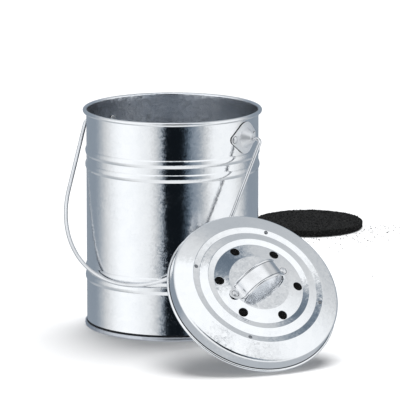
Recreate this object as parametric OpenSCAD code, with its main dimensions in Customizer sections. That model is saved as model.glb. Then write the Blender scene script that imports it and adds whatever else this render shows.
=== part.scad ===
// Galvanised compost caddy: a wired-rim sheet steel pail with two riveted ears and a swinging wire bail,
// a lift-off stamped lid with a strap handle, vent holes and four clips that hold a carbon filter disc, and
// a spare filter disc. Millimetres, +Z up. The origin is the centre of the pail's base on the ground, and
// +X points to the right-hand ear.

/* [Pail] */
// Radius of the wall's outer face
wall_outer_r = 90; // [86:1:94]
// Thickness of the wall and lid sheet
sheet_t = 0.6; // [0.5:0.05:0.7]
// Height of the rim's top above the ground
pail_h = 229.65; // [220:1:240]
// Radius of the wire inside the rolled rim
rim_wire_r = 1.5; // [1.3:0.05:1.7]
// Gap left between a rolled edge's sheet and its wire
wire_gap = 0.05; // [0.03:0.01:0.08]

/* [Swaged beads] */
// Height of one bead up the wall
bead_h = 8.4; // [7.6:0.2:9]
// How far a bead stands out from the wall
bead_out = 1.3; // [1.1:0.1:1.6]
// Radius that blends a bead into the wall
bead_fillet = 1; // [0.95:0.05:1.2]
// Distance of the middle of the upper pair below the rim's top
upper_pair_drop = 51.75; // [50:0.25:58]
// Spacing of the two upper beads
upper_pitch = 15; // [12:0.5:17]
// Height of the middle of the lower pair
lower_pair_z = 57.2; // [50:1:66]
// Spacing of the two lower beads
lower_pitch = 9.2; // [9.2:0.1:10.4]

/* [Lock seam] */
// Width of the folded seam
seam_w = 5.4; // [4:0.2:7]
// How far the seam stands out from the wall
seam_out = 0.85; // [0.6:0.05:0.9]
// Direction of the seam round the pail
seam_azimuth = 150; // [145:1:155]

/* [Base] */
// How far the base hem stands out from the wall
hem_out = 1.9; // [1.4:0.1:2.4]
// Height of the base hem
hem_h = 3.8; // [3.4:0.1:5]
// Radius of the base hem's outer corners
hem_round = 1; // [0.6:0.1:1.2]
// Thickness of the hem's inner lip
lip_t = 0.7; // [0.6:0.05:0.9]
// Thickness of the hem under the wall's foot
hem_sole_t = 1; // [0.8:0.1:1.4]
// Gap between the wall's foot and the hem that holds it
foot_gap = 0.08; // [0.05:0.01:0.1]
// Height of the floor's underside above the ground
floor_z = 2.2; // [1.4:0.1:2.6]
// Thickness of the floor
floor_t = 0.8; // [0.6:0.05:1]

/* [Ears] */
// How far the bail's pivot lies below the rim's top
pivot_drop = 23.15; // [22:0.5:25]
// Thickness of an ear's plate
ear_t = 1; // [0.8:0.1:1.2]
// Radius of the ear's outline round its dome
ear_mid_r = 16.5; // [15:0.5:17]
// Radius of the ear's outline round each rivet
ear_tip_r = 5.2; // [4.8:0.2:6]
// Distance of each rivet from the pivot, along the wall
ear_rivet_arc = 18.5; // [17.5:0.5:20]
// Radius of the dome where it rises from the plate
dome_base_r = 10.8; // [10:0.2:11.6]
// Radius of the dome's flat top
dome_top_r = 4.9; // [4.7:0.1:5.4]
// Height of the dome's top above the wall
dome_h = 9.5; // [9:0.1:11]
// Radius that rounds the dome's top edge
dome_round = 1.6; // [1.2:0.1:2]
// Gap between an ear and the wall it is riveted to
seat_gap = 0.05; // [0.03:0.01:0.08]

/* [Rivets] */
// Shank radius of the ear and handle rivets
rivet_r = 2; // [1.6:0.1:2.2]
// Head radius of the ear and handle rivets
rivet_head_r = 3.9; // [3.4:0.1:4.2]
// Height of the ear and handle rivets' heads
rivet_head_h = 1.7; // [1.3:0.1:2]
// Thickness of a rivet's clinched inner head
clinch_t = 1; // [0.8:0.1:1.2]
// Gap between a rivet's shank and its hole
rivet_gap = 0.05; // [0.03:0.01:0.08]

/* [Bail] */
// Radius of the bail's wire
bail_wire_r = 2; // [1.7:0.1:2.2]
// Radial clearance of the wire in the ear's hole
bore_gap = 0.08; // [0.05:0.01:0.1]
// How far the bend's corner lies outside the dome's top
bail_shoulder = 9.5; // [9:0.5:11]
// Radius of the bend at the pivot, to the wire's centre
bail_bend_r = 5; // [4:0.5:6]
// Radius of the bow beyond the wall, to the wire's centre
bow_out = 13; // [11:0.5:13.5]
// Radius of the upset head inside the dome
upset_r = 3.2; // [2.9:0.1:3.4]
// Thickness of the upset head
upset_t = 2; // [1.6:0.1:2.4]
// Gap between the upset head and the inside of the dome
upset_gap = 0.3; // [0.2:0.05:0.5]
// Gap left where the hanging bail nests between the lower beads
rest_gap = 0.3; // [0.2:0.05:0.6]

/* [Lid] */
// Radius of the wire inside the lid's hem
lid_wire_r = 0.75; // [0.6:0.05:0.9]
// Angle above level at which the hem bears on the rim
seat_angle = 28; // [24:1:34]
// Height of the vent holes' ring above the middle of the hem
lid_h = 24.1; // [22:0.5:26]
// Radius of the flat disc in the middle
disc_r = 32; // [31:0.5:33]
// Width of the slope from the disc down to the inner valley
vent_slope_w = 15.2; // [15.2:0.2:16]
// Width of the slope up to the inner ridge
ridge_in_w = 6.4; // [5.4:0.2:7]
// Width of the slope down to the outer valley
valley_out_w = 8.5; // [7.5:0.1:9]
// Width of the slope up to the outer ridge
ridge_out_w = 6.7; // [6.5:0.1:7.5]
// How far the shoulder's edge lies inside the skirt
shoulder_in = 2.6; // [2:0.1:3.2]
// Rise of the middle disc above the vent ring
disc_rise = 1.4; // [1:0.1:1.6]
// Drop of the inner valley below the vent ring
valley_in_drop = 0.75; // [0.6:0.05:0.9]
// Rise of the inner ridge above the vent ring
ridge_in_rise = 0.4; // [0.2:0.05:0.6]
// Drop of the outer valley below the vent ring
valley_out_drop = 2.3; // [2:0.05:2.6]
// Drop of the outer ridge below the vent ring
ridge_out_drop = 1.5; // [1.2:0.05:1.7]
// Drop of the shoulder's edge below the vent ring
shoulder_drop = 7.4; // [6.5:0.1:8.5]
// Drop of the skirt's top below the vent ring
skirt_drop = 10; // [9.6:0.1:11]
// Radius of the pressed creases
crease_r = 1.4; // [1:0.1:1.6]

/* [Vents] */
// Number of vent holes
vent_count = 6; // [4:1:6]
// Distance of the ring of vent holes outside the disc
vent_ring_out = 9.8; // [9.4:0.1:10]
// Radius of a vent hole
vent_r = 5; // [4.6:0.1:5.1]

/* [Handle] */
// Direction of the strap across the lid, from the first vent
strap_azimuth = 30; // [28:1:32]
// Outer radius of the strap's arch
arch_r = 24.4; // [23:0.2:25]
// Thickness of the strap
strap_t = 0.9; // [0.7:0.1:1.1]
// Width of the strap between the middles of its rolled edges
strap_w = 18.4; // [16:0.2:20]
// Radius of the strap's rolled edges
strap_roll_r = 1.3; // [1.1:0.1:1.5]
// Distance of the handle's rivets from the lid's middle
strap_rivet_x = 31.6; // [31.2:0.1:32]
// Radius of the strap's rounded ends
strap_end_r = 6.2; // [5.8:0.1:6.6]

/* [Filter clips] */
// Number of clips
clip_count = 4; // [3:1:4]
// Direction of the first clip, from the first vent
clip_azimuth = 75.6; // [72:1:78]
// Width of a clip
clip_w = 10; // [8:0.5:12]
// Thickness of a clip's sheet
clip_t = 0.8; // [0.6:0.05:0.9]
// How far a clip's tab reaches in under the filter
clip_reach = 5; // [4:0.5:6]
// Shank radius of a clip's rivet
clip_rivet_r = 1.2; // [1:0.1:1.3]
// Head radius of a clip's rivet
clip_head_r = 2.1; // [1.8:0.1:2.2]
// Height of a clip rivet's head
clip_head_h = 0.7; // [0.5:0.05:0.9]

/* [Carbon filters] */
// How far a filter's edge lies inside the lid's outer ridge
filter_in = 5.8; // [5.6:0.1:8]
// Thickness of the filter disc
filter_t = 8; // [6:0.5:9]
// Radius that rounds the filter's edges
filter_round = 1.5; // [1:0.1:2]
// Gap between the fitted filter and what holds it
filter_gap = 0.3; // [0.2:0.05:0.4]

/* [Where the loose pieces stand] */
// Direction in which the lid's face looks, round the pail
lid_azimuth = -33; // [-36:1:-30]
// How far the lid's face looks up
lid_elevation = 44; // [43:0.5:46]
// Turn of the lid about its own axis
lid_spin = -10.7; // [-15:1:15]
// Direction of the lid's middle from the pail
lid_bearing = -31.75; // [-33:0.25:-30]
// Level gap between the lid's top edge and the bail's pivot line
lid_clear = 17; // [16.5:0.5:24]
// Direction of the filter's middle from the pail
filter_bearing = 105.5; // [95:0.5:120]
// Ground between the pail and the filter
filter_clear = 374; // [350:2:400]

/* [Hidden] */

$fn = 96;
arc_step = 6;       // degrees between the points of a rounded outline
cut_past = 4;       // how far a cutting solid runs past what it cuts

// Rolled rim and wall
wall_inner_r = wall_outer_r - sheet_t;
rim_roll_r = rim_wire_r + wire_gap + sheet_t;
rim_r = wall_inner_r + rim_roll_r;
rim_z = pail_h - rim_roll_r;
rim_curl = 308;     // degrees that the wall's edge curls round its wire
foot_z = hem_sole_t + foot_gap;
seam_foot_z = hem_h + 0.6;
seam_top_z = rim_z - rim_roll_r - 2.5;
seam_bite = sheet_t / 3;    // how far the seam reaches into the wall's sheet
hem_edge_round = 0.3;       // rounds the base hem's inner edges

// Beads: an arc of bead_r stands out by bead_out over bead_h, with a fillet at each end
bead_r = (pow(bead_h / 2, 2) + pow(bead_out, 2)) / (2 * bead_out);
bead_centre_r = wall_outer_r + bead_out - bead_r;
bead_run = wall_outer_r + bead_fillet - bead_centre_r;
bead_fillet_dz = sqrt(pow(bead_r + bead_fillet, 2) - pow(bead_run, 2));
bead_turn = atan2(bead_fillet_dz, bead_run);
bead_heights = [lower_pair_z - lower_pitch / 2, lower_pair_z + lower_pitch / 2,
    pail_h - upper_pair_drop - upper_pitch / 2, pail_h - upper_pair_drop + upper_pitch / 2];

// Ears
pivot_z = pail_h - pivot_drop;
ear_seat_r = wall_outer_r + seat_gap;
ear_face_r = ear_seat_r + ear_t;
dome_face_x = wall_outer_r + dome_h;
ear_rivet_turn = ear_rivet_arc / ear_face_r * 180 / PI;
rivet_hole_r = rivet_r + rivet_gap;
clinch_r = rivet_head_r - 0.4;
clinch_bevel = 0.3;
dome_root = 0.4;        // how far the dome's flank reaches into the ear's plate
dome_slant = 0.6;       // share of the sheet's thickness that the dome's leaning flank takes off inside

// Bail: the wire's bottom nests between the two lower beads, which fixes its depth and its resting tilt
rest_r = bead_centre_r + sqrt(pow(bead_r + bail_wire_r + rest_gap, 2) - pow(lower_pitch / 2, 2));
bail_depth = norm([rest_r, pivot_z - lower_pair_z]);
bail_tilt = atan2(rest_r, pivot_z - lower_pair_z);
bail_half_span = dome_face_x + bail_shoulder;
bow_r = wall_outer_r + bow_out;
bow_z = bow_r - bail_depth;
arm_turn = acos(bow_r / norm([bail_half_span, bow_z])) - atan2(-bow_z, bail_half_span);
bend_cut = bail_bend_r * cos(arm_turn) / (1 - sin(arm_turn));
upset_x = dome_face_x - ear_t - upset_gap - upset_t;
bend_thinning = 0.03;   // bending draws the wire thinner by this much of its radius
bend_run_on = 0.3;      // how far a bent stretch runs on into a straight one

// Lid, in its own frame: +Z out of its face, level 0 through the middle of its hem
hem_roll_r = lid_wire_r + wire_gap + sheet_t;
lid_curl = 310;     // degrees that the skirt's edge curls round its wire
lid_hem_r = rim_r - (rim_roll_r + hem_roll_r) * cos(seat_angle);
skirt_in_r = lid_hem_r - hem_roll_r;
skirt_out_r = skirt_in_r + sheet_t;
disc_z = lid_h + disc_rise;
valley_in_r = disc_r + vent_slope_w;
ridge_in_r = valley_in_r + ridge_in_w;
valley_out_r = ridge_in_r + valley_out_w;
ridge_out_r = valley_out_r + ridge_out_w;
vent_ring_r = disc_r + vent_ring_out;
lid_z = lid_hem_r * cos(lid_elevation) + hem_roll_r;
lid_distance = bail_half_span + lid_hem_r * sin(lid_elevation) + lid_clear;

// Outer outline of the lid's sheet from its middle to its hem: [radius, height, crease radius]
lid_shape = [[0, disc_z, 0],
    [disc_r, disc_z, 2 * crease_r],
    [valley_in_r, lid_h - valley_in_drop, crease_r],
    [ridge_in_r, lid_h + ridge_in_rise, crease_r],
    [valley_out_r, lid_h - valley_out_drop, crease_r],
    [ridge_out_r, lid_h - ridge_out_drop, crease_r],
    [skirt_out_r - shoulder_in, lid_h - shoulder_drop, crease_r],
    [skirt_out_r, lid_h - skirt_drop, 2 * crease_r],
    [skirt_out_r, 0, 0]];

// Filters: one lies in the clips, close under the lid's lowest valley
filter_r = ridge_out_r - filter_in;

// Clips: the slope between the outer valley and the outer ridge carries them
slope_rise = (valley_out_drop - ridge_out_drop) / (ridge_out_r - valley_out_r);
slope_turn = atan(slope_rise);
under_drop = sheet_t / cos(slope_turn);
clip_leg_r = filter_r + filter_gap;
clip_foot_r = ridge_out_r - 0.5;
clip_round = 0.9;       // outside of a clip's bends
clip_inner_round = 0.2; // inside of a clip's bends
clip_rivet_at = (clip_leg_r + clip_t + clip_foot_r) / 2;
filter_top_z = lid_h - valley_out_drop - under_drop - filter_gap;
clip_tab_z = filter_top_z - filter_t - filter_gap - clip_t;

// Strap handle: its rivets' clinched heads clear the slope that starts beside them
strap_end_x = strap_rivet_x + strap_end_r;
vent_slope = (disc_rise + valley_in_drop) / vent_slope_w;
handle_clinch_dip = max(0, strap_rivet_x + clinch_r - disc_r) * vent_slope;
strap_fillet = 2.4;     // blends the arch into its feet
fillet_lap = 0.2;       // how far a fillet's filling reaches into the arch
fillet_bite = 0.1;      // keeps a fillet's cut off the arch's own face

// ---------------------------------------------------------------- outlines

function unit(v) = v / norm(v);
function ring_point(c, r, a) = c + r * [cos(a), sin(a)];
function arc(c, r, from, to) = let (n = max(2, ceil(abs(to - from) / arc_step)))
    [for (i = [0 : n]) ring_point(c, r, from + (to - from) * i / n)];

// The corner b of a path a-b-c, rounded to radius r
function corner(a, b, c, r) = r <= 0 ? [b] :
    let (u = unit(a - b), v = unit(c - b), half = acos(u * v) / 2,
         mid = b + unit(u + v) * r / sin(half), reach = r / tan(half),
         s = b + u * reach - mid, e = b + v * reach - mid,
         a0 = atan2(s.y, s.x), turn = (atan2(e.y, e.x) - a0 + 540) % 360 - 180)
    arc(mid, r, a0, a0 + turn);

// An open path of [x, y, corner radius], with its corners rounded
function rounded_path(p) = [for (i = [0 : len(p) - 1])
    each (i == 0 || i == len(p) - 1) ? [[p[i].x, p[i].y]] :
        corner([p[i - 1].x, p[i - 1].y], [p[i].x, p[i].y], [p[i + 1].x, p[i + 1].y], p[i].z)];

// A closed outline of [x, y, corner radius]
function rounded_loop(p) = let (n = len(p)) [for (i = [0 : n - 1])
    let (a = p[(i + n - 1) % n], b = p[i], c = p[(i + 1) % n])
    each corner([a.x, a.y], [b.x, b.y], [c.x, c.y], b.z)];

function reversed(p) = [for (i = [len(p) - 1 : -1 : 0]) p[i]];

// The wall's outline past one bead, moved inwards by inset
function bead_path(z, inset) = let (
    c = [bead_centre_r, z], r = bead_r - inset, f = bead_fillet + inset,
    low = [wall_outer_r + bead_fillet, z - bead_fillet_dz],
    high = [wall_outer_r + bead_fillet, z + bead_fillet_dz])
    concat(arc(low, f, 180, 180 - bead_turn), arc(c, r, -bead_turn, bead_turn),
        arc(high, f, 180 + bead_turn, 180));

function wall_path(from, to, inset) = concat([[wall_outer_r - inset, from]],
    [for (z = bead_heights) each bead_path(z, inset)], [[wall_outer_r - inset, to]]);

// ---------------------------------------------------------------- pail

module pail_wall() {
    color("gainsboro") difference() {
        union() {
            rotate_extrude() polygon(concat(
                wall_path(foot_z, rim_z, 0),
                arc([rim_r, rim_z], rim_roll_r - sheet_t, 180, 180 - rim_curl),
                reversed(arc([rim_r, rim_z], rim_roll_r, 180, 180 - rim_curl)),
                reversed(wall_path(foot_z, rim_z, sheet_t))));
            lock_seam();
        }
        for (side = [0, 180], way = [-1, 1]) ear_rivet_place(side, way) rivet_hole();
    }
}

// The folded seam follows the wall over its beads
module lock_seam() {
    turn = seam_w / wall_outer_r * 180 / PI;
    rotate([0, 0, seam_azimuth - turn / 2]) rotate_extrude(angle = turn) polygon(concat(
        wall_path(seam_foot_z, seam_top_z, -seam_out),
        reversed(wall_path(seam_foot_z, seam_top_z, seam_bite))));
}

module rim_wire() {
    color("silver") rotate_extrude() translate([rim_r, rim_z]) circle(rim_wire_r);
}

module base_pan() {
    out = wall_outer_r + hem_out;
    slot_in = wall_inner_r - foot_gap;
    slot_out = wall_outer_r + foot_gap;
    lip_in = slot_in - lip_t;
    color("gainsboro") rotate_extrude() polygon(rounded_loop([
        [0, floor_z, 0], [lip_in, floor_z, 0], [lip_in, 0, hem_edge_round],
        [out, 0, hem_round], [out, hem_h, hem_round],
        [slot_out, hem_h, hem_edge_round], [slot_out, hem_sole_t, 0],
        [slot_in, hem_sole_t, 0], [slot_in, hem_h, hem_edge_round],
        [lip_in, hem_h, hem_edge_round], [lip_in, floor_z + floor_t, 0], [0, floor_z + floor_t, 0]]));
}

// ---------------------------------------------------------------- ears and their rivets

// Carries a child from the X axis to a rivet's place: side is the ear's direction, and way is +1 or -1
// along the wall
module ear_rivet_place(side, way) {
    rotate([0, 0, side + way * ear_rivet_turn]) translate([0, 0, pivot_z]) rotate([0, 90, 0]) children();
}

module rivet_hole() {
    translate([0, 0, wall_inner_r - cut_past])
        cylinder(r = rivet_hole_r, h = ear_face_r - wall_inner_r + 2 * cut_past);
}

// Outline of an ear, seen along the pivot: a round middle drawn out to a rivet on each side
module ear_outline() {
    reach = ear_face_r * sin(ear_rivet_turn);
    lean = acos((ear_mid_r - ear_tip_r) / reach);
    polygon(concat(
        arc([reach, 0], ear_tip_r, -lean, lean), arc([0, 0], ear_mid_r, lean, 180 - lean),
        arc([-reach, 0], ear_tip_r, 180 - lean, 180 + lean),
        arc([0, 0], ear_mid_r, 180 + lean, 360 - lean)));
}

// The dome's outline: [radius, distance along the pivot], with its sheet's thickness taken off where inset
// is given
function dome_outline(inset) = rounded_loop([
    [0, wall_outer_r - cut_past, 0], [0, dome_face_x - inset, 0],
    [dome_top_r - inset * dome_slant, dome_face_x - inset, dome_round],
    [dome_base_r - inset, ear_face_r - dome_root, 0], [dome_base_r - inset, wall_outer_r - cut_past, 0]]);

module dome_solid(inset) {
    rotate([0, 90, 0]) rotate_extrude() polygon(dome_outline(inset));
}

module ear(side) {
    color("lightgrey") difference() {
        rotate([0, 0, side]) translate([0, 0, pivot_z]) difference() {
            union() {
                intersection() {
                    translate([wall_inner_r - 2 * cut_past, 0, 0]) rotate([90, 0, 90])
                        linear_extrude(4 * cut_past) ear_outline();
                    translate([0, 0, -2 * ear_mid_r]) cylinder(r = ear_face_r, h = 4 * ear_mid_r);
                }
                dome_solid(0);
            }
            dome_solid(ear_t);
            translate([0, 0, -2 * ear_mid_r]) cylinder(r = ear_seat_r, h = 4 * ear_mid_r);
            rotate([0, 90, 0]) cylinder(r = bail_wire_r + bore_gap, h = dome_face_x + cut_past);
        }
        for (way = [-1, 1]) ear_rivet_place(side, way) rivet_hole();
    }
}

// A rivet along +Z: a domed head on the level face, a shank down through the sheets and a clinched head
// below them
module rivet(face, back, r, head_r, head_h, tail_r, tail_t) {
    ball = (head_r * head_r + head_h * head_h) / (2 * head_h);
    rotate_extrude() polygon(concat(
        [[0, back - tail_t], [tail_r - clinch_bevel, back - tail_t], [tail_r, back - tail_t + clinch_bevel],
         [tail_r, back], [r, back], [r, face]],
        arc([0, face + head_h - ball], ball, asin((ball - head_h) / ball), 90)));
}

module ear_rivet(side, way) {
    dip = wall_inner_r - sqrt(pow(wall_inner_r, 2) - pow(clinch_r, 2));
    color("whitesmoke") ear_rivet_place(side, way)
        rivet(ear_face_r + seat_gap, wall_inner_r - dip - seat_gap, rivet_r, rivet_head_r, rivet_head_h,
              clinch_r, clinch_t);
}

// ---------------------------------------------------------------- bail

// A bent stretch of wire in the XZ plane: its ends run on a little into the straight stretches that it joins
module wire_bend(r, from, to) {
    run_on = asin(bend_run_on / r);
    rotate([90, 0, 0]) rotate([0, 0, from - run_on]) rotate_extrude(angle = to - from + 2 * run_on)
        translate([r, 0]) circle(bail_wire_r - bend_thinning);
}

// One side of the bail, hanging straight down in the XZ plane from the pivot
module bail_side() {
    tangent = [bow_r * cos(arm_turn), bow_z - bow_r * sin(arm_turn)];
    start = [bail_half_span - bend_cut * sin(arm_turn), -bend_cut * cos(arm_turn)];
    translate([upset_x, 0, 0]) rotate([0, 90, 0]) {
        cylinder(r = upset_r, h = upset_t);
        cylinder(r = bail_wire_r, h = bail_half_span - bend_cut - upset_x);
    }
    translate([bail_half_span - bend_cut, 0, -bail_bend_r]) wire_bend(bail_bend_r, -arm_turn, 90);
    translate([start.x, 0, start.y]) rotate([0, 180 + arm_turn, 0])
        cylinder(r = bail_wire_r, h = norm(tangent - start));
}

module bail() {
    color("silver") translate([0, 0, pivot_z]) rotate([-bail_tilt, 0, 0]) {
        bail_side();
        mirror([1, 0, 0]) bail_side();
        translate([0, 0, bow_z]) wire_bend(bow_r, 180 + arm_turn, 360 - arm_turn);
    }
}

// ---------------------------------------------------------------- lid

// Carries a child from the lid's own frame to where the lid leans, its hem on the ground
module lid_place() {
    translate([lid_distance * cos(lid_bearing), lid_distance * sin(lid_bearing), lid_z])
        rotate([0, 0, lid_azimuth]) rotate([0, 90 - lid_elevation, 0]) rotate([0, 0, 90 + lid_spin])
            children();
}

module lid_pan() {
    outer = rounded_path(lid_shape);
    color("gainsboro") lid_place() difference() {
        union() {
            difference() {
                rotate_extrude() polygon(concat([[0, 0]], outer));
                rotate_extrude() polygon(lid_hollow());
            }
            rotate_extrude() lid_hem();
        }
        for (i = [0 : vent_count - 1]) rotate([0, 0, i * 360 / vent_count]) translate([vent_ring_r, 0, 0])
            cylinder(r = vent_r, h = disc_z + cut_past);
        for (way = [-1, 1]) handle_rivet_place(way)
            cylinder(r = rivet_hole_r, h = 2 * cut_past, center = true);
        for (i = [0 : clip_count - 1]) clip_rivet_place(i)
            cylinder(r = clip_rivet_r + rivet_gap, h = 2 * cut_past, center = true);
    }
}

// The space under the sheet: the outer outline one sheet lower and one sheet further in
function lid_hollow() = let (
    under = [for (p = lid_shape) [p.x < skirt_in_r ? p.x : skirt_in_r, p.y - sheet_t, p.z]],
    n = len(under))
    concat([[0, -cut_past]],
        rounded_path([for (i = [0 : n - 1]) i == n - 1 ? [skirt_in_r, -cut_past, 0] : under[i]]));

// The hem: the skirt's edge curled outwards round its wire
module lid_hem() {
    polygon(concat(
        [[skirt_in_r, hem_roll_r], [skirt_in_r, 0]],
        arc([lid_hem_r, 0], hem_roll_r, 180, 180 + lid_curl),
        reversed(arc([lid_hem_r, 0], hem_roll_r - sheet_t, 180, 180 + lid_curl)),
        [[skirt_out_r, hem_roll_r]]));
}

module lid_hem_wire() {
    color("silver") lid_place() rotate_extrude() translate([lid_hem_r, 0]) circle(lid_wire_r);
}

// ---------------------------------------------------------------- strap handle

module handle_rivet_place(way) {
    rotate([0, 0, strap_azimuth]) translate([way * strap_rivet_x, 0, disc_z]) children();
}

// Side view of the strap: an arch on two flat feet
module strap_side() {
    in_r = arch_r - strap_t;
    foot_x = arch_r + strap_fillet;
    difference() {
        union() {
            difference() {
                circle(arch_r);
                translate([-2 * arch_r, -2 * arch_r]) square([4 * arch_r, 2 * arch_r]);
            }
            translate([-strap_end_x, 0]) square([2 * strap_end_x, strap_t]);
            for (way = [-1, 1]) polygon([
                [way * in_r, 0], [way * foot_x, 0], [way * foot_x, strap_t],
                [way * (arch_r - fillet_lap), strap_t + strap_fillet],
                [way * in_r, strap_t + strap_fillet]]);
        }
        circle(in_r);
        for (way = [-1, 1]) translate([way * (foot_x + fillet_bite), strap_t + strap_fillet])
            circle(strap_fillet);
    }
}

// Plan of the strap: full width under the arch, tapering to a round end past each rivet
module strap_plan() {
    half = strap_w / 2;
    lean = acos((half - strap_end_r) / (strap_rivet_x - arch_r));
    translate([-arch_r, -half]) square([2 * arch_r, strap_w]);
    for (way = [-1, 1]) {
        translate([way * strap_rivet_x, 0]) circle(strap_end_r);
        polygon([[way * arch_r, -half], [way * arch_r, half],
            [way * strap_rivet_x, strap_end_r], [way * strap_rivet_x, -strap_end_r]]);
    }
}

module handle_strap() {
    color("whitesmoke") lid_place() rotate([0, 0, strap_azimuth]) translate([0, 0, disc_z + seat_gap]) {
        difference() {
            intersection() {
                translate([0, strap_w, 0]) rotate([90, 0, 0]) linear_extrude(2 * strap_w) strap_side();
                linear_extrude(2 * arch_r) strap_plan();
            }
            for (way = [-1, 1]) translate([way * strap_rivet_x, 0, 0])
                cylinder(r = rivet_hole_r, h = 2 * cut_past, center = true);
        }
        for (way = [-1, 1]) translate([0, way * strap_w / 2, 0]) rolled_edge();
    }
}

// A rolled edge of the strap: a half ring that ends on the feet
module rolled_edge() {
    mid_r = arch_r - strap_t / 2;
    difference() {
        rotate([90, 0, 0]) rotate_extrude() translate([mid_r, 0]) circle(strap_roll_r);
        translate([-2 * arch_r, -2 * arch_r, -4 * arch_r]) cube(4 * arch_r);
    }
}

module handle_rivet(way) {
    color("white") lid_place() handle_rivet_place(way)
        rivet(strap_t + 2 * seat_gap, -sheet_t - handle_clinch_dip - seat_gap, rivet_r,
              rivet_head_r, rivet_head_h, clinch_r, clinch_t);
}

// ---------------------------------------------------------------- filter clips

// Underside of the slope that carries the clips, at radius r
function slope_under(r) = lid_h - valley_out_drop + (r - valley_out_r) * slope_rise - under_drop;

module clip_rivet_place(i) {
    rotate([0, 0, clip_azimuth + i * 360 / clip_count])
        translate([clip_rivet_at, 0, slope_under(clip_rivet_at) + under_drop]) rotate([0, -slope_turn, 0])
            children();
}

// One clip, seen from its side: a foot against the slope, a leg past the filter's edge and a tab in under it
module filter_clip(i) {
    in_r = clip_leg_r;
    out_r = clip_leg_r + clip_t;
    color("lightgrey") lid_place() difference() {
        rotate([0, 0, clip_azimuth + i * 360 / clip_count]) translate([0, clip_w / 2, 0]) rotate([90, 0, 0])
            linear_extrude(clip_w) polygon(rounded_loop([
                [in_r, slope_under(in_r) - seat_gap, clip_round],
                [clip_foot_r, slope_under(clip_foot_r) - seat_gap, 0],
                [clip_foot_r, slope_under(clip_foot_r) - seat_gap - clip_t, 0],
                [out_r, slope_under(out_r) - seat_gap - clip_t, clip_inner_round],
                [out_r, clip_tab_z, clip_round], [in_r - clip_reach, clip_tab_z, 0],
                [in_r - clip_reach, clip_tab_z + clip_t, 0],
                [in_r, clip_tab_z + clip_t, clip_inner_round]]));
        clip_rivet_place(i) cylinder(r = clip_rivet_r + rivet_gap, h = 4 * cut_past, center = true);
    }
}

module clip_rivet(i) {
    color("grey") lid_place() clip_rivet_place(i)
        rivet(seat_gap, -sheet_t - 2 * seat_gap - clip_t, clip_rivet_r, clip_head_r, clip_head_h,
              clip_head_r, clip_head_h);
}

// ---------------------------------------------------------------- filter

// A filter disc, its underside on level 0
module filter_disc() {
    color([0.09, 0.09, 0.1]) rotate_extrude() polygon(rounded_loop([
        [0, 0, 0], [filter_r, 0, filter_round], [filter_r, filter_t, filter_round], [0, filter_t, 0]]));
}

module fitted_filter() {
    lid_place() translate([0, 0, filter_top_z - filter_t]) filter_disc();
}

module carbon_filter() {
    distance = wall_outer_r + filter_clear + filter_r;
    rotate([0, 0, filter_bearing]) translate([distance, 0, 0]) filter_disc();
}

pail_wall();
rim_wire();
base_pan();
ear(0);  // ear_right
ear(180);  // ear_left
ear_rivet(0, -1);  // ear_rivet_right_front
ear_rivet(0, 1);  // ear_rivet_right_rear
ear_rivet(180, 1);  // ear_rivet_left_front
ear_rivet(180, -1);  // ear_rivet_left_rear
bail();
lid_pan();
lid_hem_wire();
handle_strap();
handle_rivet(-1);  // handle_rivet_lower
handle_rivet(1);  // handle_rivet_upper
filter_clip(0);  // filter_clip_1
filter_clip(1);  // filter_clip_2
filter_clip(2);  // filter_clip_3
filter_clip(3);  // filter_clip_4
clip_rivet(0);  // clip_rivet_1
clip_rivet(1);  // clip_rivet_2
clip_rivet(2);  // clip_rivet_3
clip_rivet(3);  // clip_rivet_4
fitted_filter();
carbon_filter();
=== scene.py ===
"""Looks of the galvanised compost caddy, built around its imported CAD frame. Metres, +Z up.

Sizes and the studio's values come first, then the finishes, the shapes of the pieces and the studio.
The caddy itself is put together at the end."""

from math import acos, atan2, ceil, cos, hypot, pi, radians, sin, sqrt, tan
from random import Random

import bmesh
import bpy
from mathutils import Matrix, Vector, noise


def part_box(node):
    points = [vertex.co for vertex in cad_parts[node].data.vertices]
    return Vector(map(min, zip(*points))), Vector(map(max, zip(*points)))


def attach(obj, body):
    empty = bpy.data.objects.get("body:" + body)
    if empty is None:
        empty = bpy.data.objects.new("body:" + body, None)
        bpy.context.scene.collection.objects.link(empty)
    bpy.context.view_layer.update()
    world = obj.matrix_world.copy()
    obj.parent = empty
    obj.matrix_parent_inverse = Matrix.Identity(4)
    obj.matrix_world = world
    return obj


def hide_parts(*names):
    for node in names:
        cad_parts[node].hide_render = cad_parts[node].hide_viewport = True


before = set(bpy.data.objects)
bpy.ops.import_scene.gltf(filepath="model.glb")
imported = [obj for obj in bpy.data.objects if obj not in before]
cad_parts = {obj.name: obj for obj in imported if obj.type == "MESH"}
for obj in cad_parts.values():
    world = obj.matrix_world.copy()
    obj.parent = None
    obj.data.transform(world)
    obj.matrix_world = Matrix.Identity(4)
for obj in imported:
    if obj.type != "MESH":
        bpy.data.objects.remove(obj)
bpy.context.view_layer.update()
scene = bpy.context.scene
MM = 0.001

# ---------------------------------------------------------------- sizes, in millimetres and degrees

WALL_R = 90.0            # outer face of the pail's wall
SHEET = 0.6              # thickness of the wall's and the lid's sheet
PAIL_H = 229.65
RIM_WIRE_R = 1.5
WIRE_GAP = 0.05
RIM_CURL = 308           # how far the wall's edge curls round its wire
BEAD_H = 8.4
BEAD_OUT = 1.3
BEAD_FILLET = 1.0
BEAD_Z = (52.6, 61.8, 170.4, 185.4)     # middles of the four beads

SEAM_W = 5.4
SEAM_OUT = 0.85
SEAM_BITE = 0.1          # how far the seam's fold reaches into the wall
SEAM_AZIMUTH = 150
SEAM_FOOT_GAP = 0.6      # from the base's hem up to the fold
SEAM_TOP_GAP = 2.5       # from the fold up to the rim

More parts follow.
